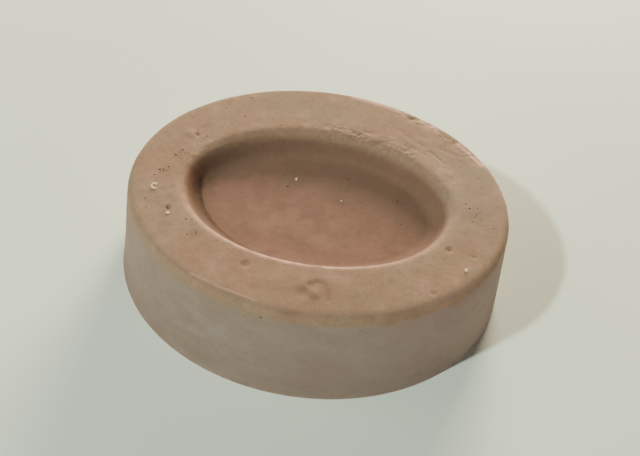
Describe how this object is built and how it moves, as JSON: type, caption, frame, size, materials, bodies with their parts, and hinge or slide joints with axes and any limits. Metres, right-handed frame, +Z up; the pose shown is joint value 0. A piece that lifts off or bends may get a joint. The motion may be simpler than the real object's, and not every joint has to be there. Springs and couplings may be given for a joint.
{
  "type": "plaster mold",
  "caption": "Heavy oval plaster block with a shallow oval dish sunk in its top, for shaping a small clay dish.",
  "frame": {"origin": "middle of the flat oval face that the block stands on", "axes": "+Z up, out of the dish; +X along the block's length; +Y across it"},
  "size_m": [0.1506, 0.1226, 0.0432],
  "materials": {
    "plaster": "matt, clay-stained",
    "pale_plaster": "matt"
  },
  "bodies": {
    "root": {"mold_block": "plaster", "curled_chip": "pale_plaster", "rim_crumbs": "pale_plaster", "dish_crumbs": "pale_plaster"}
  },
  "joints": []
}
